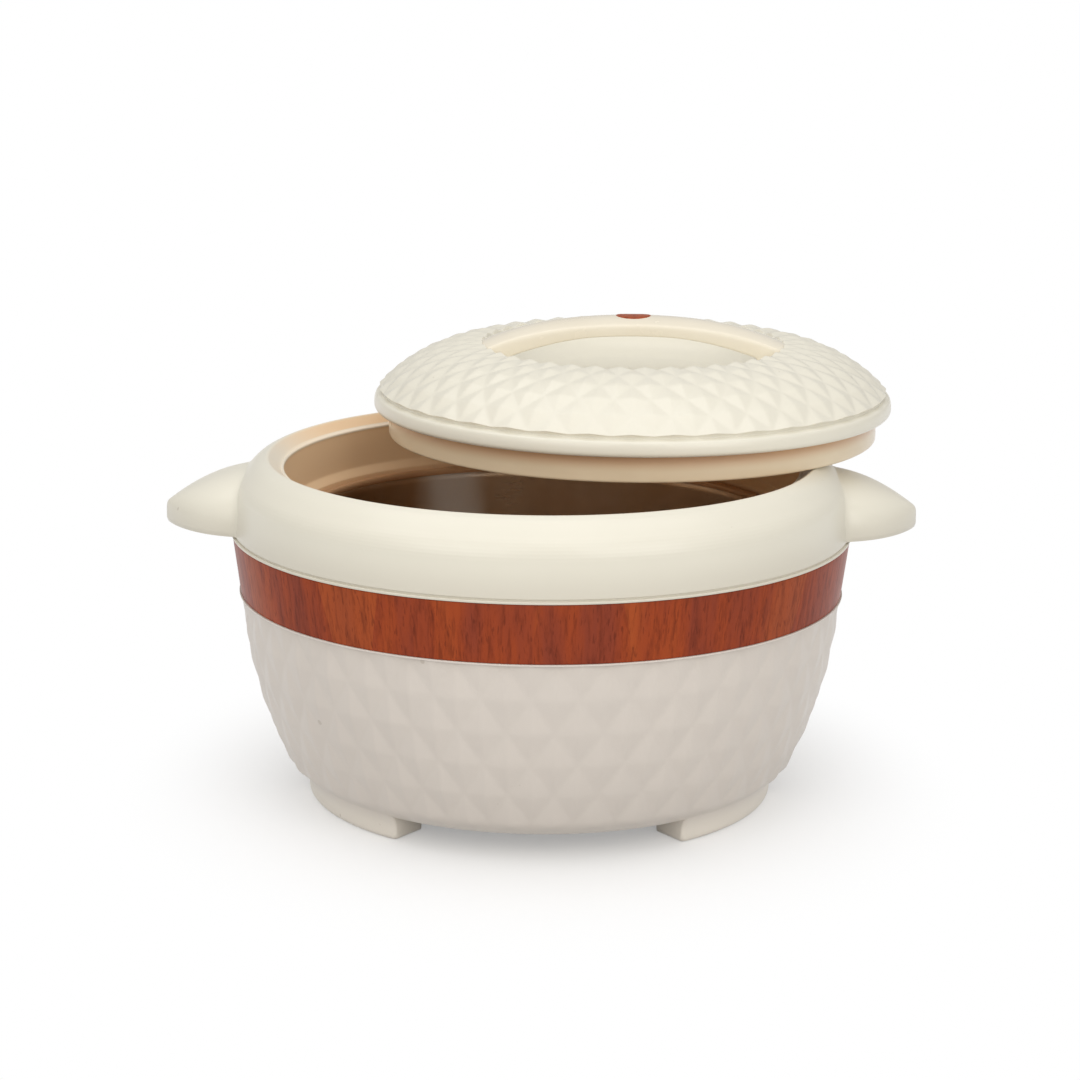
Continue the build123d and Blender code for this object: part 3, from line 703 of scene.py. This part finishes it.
def lidRings():
    # flange and groove, studded dome, dish with a curved wall, then back under the skin to the flange
    d = dome
    rowCount = studs["rows"] * studs["stepsAlong"] + 1
    arc = arcPoints(d["edge"], d["rim"], d["bulge"], rowCount)
    normal = pathNormals(arc)
    columns, rows = studRows(rowCount)
    height = d["relief"] * studShape(columns[None, :], rows[:, None], d["sharpness"], d["ridgeWidth"])
    studded = arc[:, None, :] + height[..., None] * normal[:, None, :]
    turn = np.linspace(1, 0, 20) * math.pi / 2
    width = d["rim"][0] - d["rimInset"] - d["dishFloorRadius"]
    depth = d["rim"][1] - d["rimDrop"] - d["dishFloor"]
    dish = np.stack([d["dishFloorRadius"] + width * np.sin(turn),
                     d["dishFloor"] + depth * (1 - np.cos(turn))], 1)
    floorPath = np.array([(radius, d["dishFloor"]) for radius in d["floorRings"]])
    ceiling = d["dishFloor"] - d["wall"]
    under = np.array([(0, ceiling), (d["dishFloorRadius"], ceiling), *d["underDish"]])
    innerArc = (arc - normal * d["wall"])[::-10][1:-1]
    back = roundedPath(d["inner"], 3.0)
    angles = studAngles(d["turn"])
    flange = roundedPath(d["flange"], 1.0)
    parts = [turned(flange, angles), turned(studded, angles)]
    parts += [turned(path, angles) for path in (dish, floorPath, under, innerArc, back)]
    return np.concatenate(parts) + np.array(lidPlace)


addPiece("lidShell", gridMesh("lidShell", lidRings()), "lid", lidCream, "lid_shell", 50)

cover = {
    "path": [(9.15, 5.5, 0), (9.15, 3.0, 0), (89.4, 3.0, 1.2), (92.5, 0.0, 1.2), (104.95, 0.0, 1.3),
             (104.95, 7.0, 0), (104.75, 13.85, 0.2), (102.45, 13.85, 0.2), (102.45, 2.5, 0.4),
             (93.5, 2.5, 0.4), (90.5, 5.5, 0.4)],
}


def coverRings():
    return turned(roundedPath(cover["path"], 2.5, closed=True), evenAngles(320), lidPlace)


addPiece("lidCover", gridMesh("lidCover", coverRings()), "lid", skirtCream, "lid_inner")


# ---- grip over the dish

grip = {
    "end": 67.6, "crown": 51.0, "endDrop": 12.9, "evenShare": 0.68, "thickness": 7.3, "thicken": 2.6,
    "footStart": 51.5, "footDepth": 8.0, "halfWidth": 12.0, "crowning": 2.6, "topRound": 2.2, "lowRound": 0.9,
    "footSpread": 1.4, "steps": 160,
}


def gripTop(x):
    # height of the strap's crown line: its drop is part square, part fourth power of the way to the end
    g = grip
    share = np.abs(x) / g["end"]
    return g["crown"] - g["endDrop"] * (g["evenShare"] * share ** 2 + (1 - g["evenShare"]) * share ** 4)


def gripRings():
    # the cross-section is a flat-sided strap with a crowned top; going out along the arch it thickens,
    # spreads and turns down into a foot that enters the dish's wall
    g = grip
    x = np.linspace(-1, 1, g["steps"]) * g["end"]
    share = np.abs(x) / g["end"]
    foot = smoothStep((np.abs(x) - g["footStart"]) / 7.0)
    deep = g["thickness"] + g["thicken"] * smoothStep((share - 0.2) / 0.75) + g["footDepth"] * foot
    half = g["halfWidth"] + g["footSpread"] * smoothStep((share - 0.7) / 0.3)
    wide, low = g["halfWidth"], -g["thickness"]
    crown = [(y, -g["crowning"] * (y / wide) ** 2, 0) for y in np.linspace(0.78, -0.78, 13) * wide]
    section = roundedPath([(-wide, low, g["lowRound"]), (wide, low, g["lowRound"]),
                           (wide, -g["crowning"], g["topRound"]), *crown,
                           (-wide, -g["crowning"], g["topRound"])], 0.8, closed=True)
    reach = np.clip((-section[:, 1] - g["crowning"]) / (g["thickness"] - g["crowning"]), 0, 1)
    y = section[None, :, 0] * (half / wide)[:, None]
    z = gripTop(x)[:, None] + section[None, :, 1] - reach[None, :] * (deep - g["thickness"])[:, None]
    points = np.stack([np.broadcast_to(x[:, None], y.shape), y, z], -1)
    return capped(points) + np.array(lidPlace)


addPiece("lidGrip", gridMesh("lidGrip", gripRings(), closed=False), "lid", gripCream,
         "lid_handle", 60)

inlay = {"halfLength": 7.5, "halfWidth": 6.0, "proud": 0.25, "depth": 1.2, "edge": 0.35}


def inlayRings():
    # an oval disc that follows the crown of the grip, its edge rolled down into the pocket
    g, n = grip, inlay
    size = np.array([0, 0.3, 0.6, 0.85, 0.95, 0.985, 1.0, 1.0, 0.0])
    drop = np.array([0, 0, 0, 0, 0, 0.08, n["edge"], n["depth"], n["depth"]])
    angles = evenAngles(72)
    x, y = n["halfLength"] * size[:, None] * np.cos(angles), n["halfWidth"] * size[:, None] * np.sin(angles)
    z = gripTop(x) + n["proud"] - drop[:, None] - g["crowning"] * (y / g["halfWidth"]) ** 2
    return np.stack([x, y, z], -1) + np.array(lidPlace)


inlayWood = woodPrint("inlayWood", spin=0.011)
addPiece("gripInlay", gridMesh("gripInlay", inlayRings(), closed=False), "lid", inlayWood,
         "handle_inlay")


# ---- the remaining CAD solids keep their shape and get their finish

for name, material in {"body_foam": foam, "lid_foam": foam, "base_plug": shellCream, "lid_plug": skirtCream,
                       "handle_screws": screwSteel}.items():
    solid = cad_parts[name]
    solid.data.materials.clear()
    solid.data.materials.append(material)
print("all pieces made")


# ---- floor, light and camera

stage = {"size": 60.0, "colour": 0.97, "bounce": 0.66, "shadowDepth": 0.70, "fadeFrom": 0.09,
         "fadeTo": 0.22, "fadeNarrow": 1.2, "world": 0.52, "worldColour": (1.0, 0.985, 0.96)}


def makeFloor():
    mesh = bpy.data.meshes.new("floor")
    half = stage["size"] / 2
    corners = [(-half, -half, 0), (half, -half, 0), (half, half, 0), (-half, half, 0)]
    mesh.from_pydata(corners, [], [(0, 1, 2, 3)])
    floor = bpy.data.objects.new("floor", mesh)
    bpy.context.scene.collection.objects.link(floor)
    material = bpy.data.materials.new("paleFloor")
    material.use_nodes = True
    Wire.tree = material.node_tree
    Wire.tree.nodes.clear()
    paper, bounce = (node("ShaderNodeBsdfDiffuse", {}, {"Color": (stage[grey],) * 3 + (1,)})
                     for grey in ("colour", "bounce"))
    white = node("ShaderNodeEmission", {}, {"Color": (1, 1, 1, 1), "Strength": 1.0})
    reach = stretched(objectPoint(), stage["fadeNarrow"], 1, 1)
    distance = node("ShaderNodeVectorMath", {"operation": "LENGTH"}, {0: reach}, output="Value")
    keep = distance.ramp(stage["fadeFrom"], stage["fadeTo"], stage["shadowDepth"], 0.0)
    seen = node("ShaderNodeMixShader", {}, {0: keep, 1: white, 2: paper})
    rays = [node("ShaderNodeLightPath", output=name) for name in
            ("Is Camera Ray", "Is Glossy Ray", "Is Transmission Ray")]
    direct = rays[0].most(rays[1]).most(rays[2])
    surface = node("ShaderNodeMixShader", {}, {0: direct, 1: bounce, 2: seen})
    outputTo("ShaderNodeOutputMaterial", surface)
    mesh.materials.append(material)


def outputTo(kind, surface):
    final = Wire.tree.nodes.new(kind)
    Wire.tree.links.new(surface.socket, final.inputs["Surface"])


def makeWorld():
    world = bpy.data.worlds.new("studio")
    bpy.context.scene.world = world
    world.use_nodes = True
    Wire.tree = world.node_tree
    Wire.tree.nodes.clear()
    plain = node("ShaderNodeBackground", {}, {"Color": (*stage["worldColour"], 1), "Strength": stage["world"]})
    white = node("ShaderNodeBackground", {}, {"Color": (1, 1, 1, 1), "Strength": 1.0})
    camera = node("ShaderNodeLightPath", output="Is Camera Ray")
    outputTo("ShaderNodeOutputWorld", node("ShaderNodeMixShader", {}, {0: camera, 1: plain, 2: white}))


def addLamp(name, place, size, power, colour, aim=(0, 0, 0.1)):
    lamp = bpy.data.lights.new(name, "AREA")
    lamp.shape, lamp.size, lamp.size_y = "RECTANGLE", *size
    lamp.energy, lamp.color = power, colour
    holder = bpy.data.objects.new(name, lamp)
    bpy.context.scene.collection.objects.link(holder)
    toward = np.array(aim) - np.array(place)
    holder.location = place
    holder.rotation_euler = (math.atan2(math.hypot(toward[0], toward[1]), -toward[2]), 0,
                             math.atan2(toward[1], toward[0]) - math.pi / 2)


lamps = {
    "overhead": {"place": (-0.1, -0.2, 1.4), "size": (1.9, 1.5),
                 "power": 9.0, "colour": (0.985, 0.99, 1.0)},
    "frontLeft": {"place": (-0.75, -1.3, 0.85), "size": (1.1, 0.9),
                  "power": 5.1, "colour": (1.0, 0.98, 0.94)},
    "frontRight": {"place": (0.85, -1.25, 0.8), "size": (1.0, 0.9),
                   "power": 5.9, "colour": (1.0, 0.98, 0.94)},
}


view = {"place": (-0.0005, -1.227, 0.399), "pitch": 13.41, "roll": 0.46, "lens": 100.0, "sensor": 36.0}


def makeCamera():
    # looks along +Y, tipped down by pitch and turned about its own axis by roll, in degrees
    data = bpy.data.cameras.new("camera")
    data.lens, data.sensor_width, data.clip_end = view["lens"], view["sensor"], 100.0
    camera = bpy.data.objects.new("camera", data)
    bpy.context.scene.collection.objects.link(camera)
    pitch, roll = math.radians(view["pitch"]), math.radians(view["roll"])
    forward = np.array([0, math.cos(pitch), -math.sin(pitch)])
    up = np.array([0, math.sin(pitch), math.cos(pitch)])
    side = np.array([1.0, 0, 0])
    right = side * math.cos(roll) + up * math.sin(roll)
    upright = up * math.cos(roll) - side * math.sin(roll)
    columns = np.column_stack([right, upright, -forward, view["place"]])
    camera.matrix_world = Matrix([*columns.tolist(), [0, 0, 0, 1]])
    bpy.context.scene.camera = camera


makeFloor()
makeWorld()
for name, lamp in lamps.items():
    addLamp(name, **lamp)
makeCamera()
bpy.context.scene.view_settings.view_transform = "Standard"
print("stage ready")
